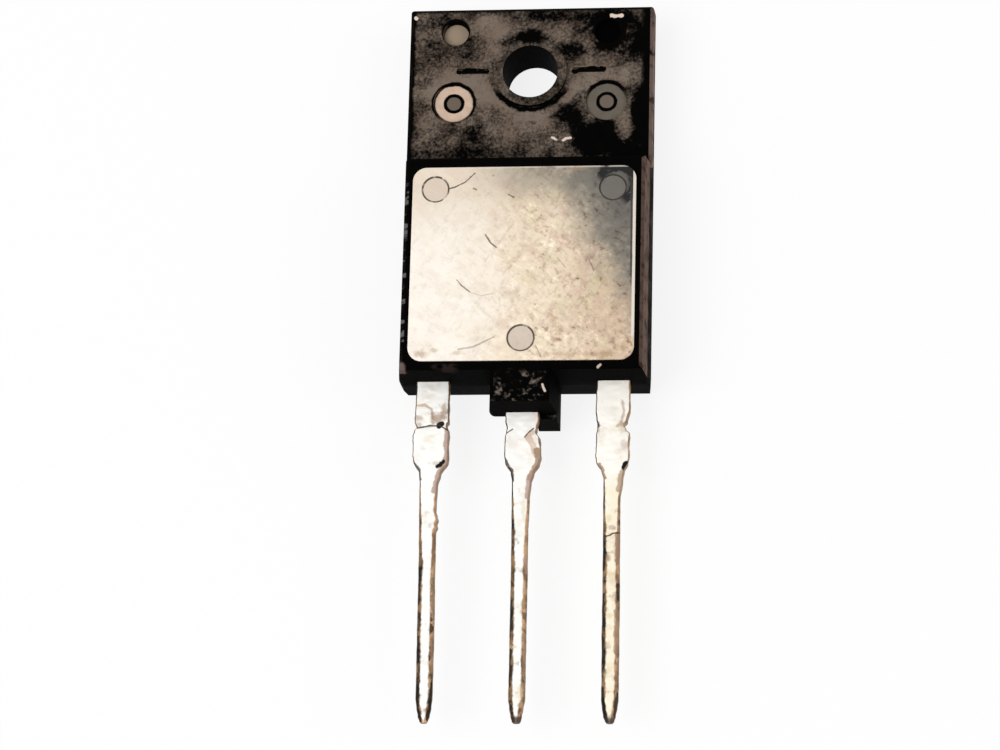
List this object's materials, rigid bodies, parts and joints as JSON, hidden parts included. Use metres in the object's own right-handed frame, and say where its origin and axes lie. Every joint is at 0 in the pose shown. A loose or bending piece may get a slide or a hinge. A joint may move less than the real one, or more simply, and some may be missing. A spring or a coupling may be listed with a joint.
{
  "type": "transistor",
  "caption": "Power transistor in a flat moulded body with a screw-down tab, a raised marking pad and a row of flat tinned leads.",
  "frame": {"origin": "axis of the screw hole, on the heat-sink face", "axes": "+X across the lead row from the base lead to the emitter lead, +Y from the lead tips toward the tab end, +Z out of the marked front face along the screw hole"},
  "size_m": [0.0152, 0.045, 0.0056],
  "materials": {
    "epoxy": "black moulding compound, matte, worn grey-brown on the tab, with a pale satin marking pad",
    "tinned_copper": "copper strip with a satin tin coat, stained brown along the edges",
    "solder": "dull solder",
    "silicon": "polished silicon",
    "aluminium_wire": "plain drawn wire"
  },
  "bodies": {
    "root": {"moulded_body": "epoxy", "collector_header": "tinned_copper", "base_lead": "tinned_copper", "emitter_lead": "tinned_copper", "die_solder": "solder", "silicon_die": "silicon", "base_wire": "aluminium_wire", "emitter_wire_inner": "aluminium_wire", "emitter_wire_outer": "aluminium_wire"}
  },
  "joints": []
}
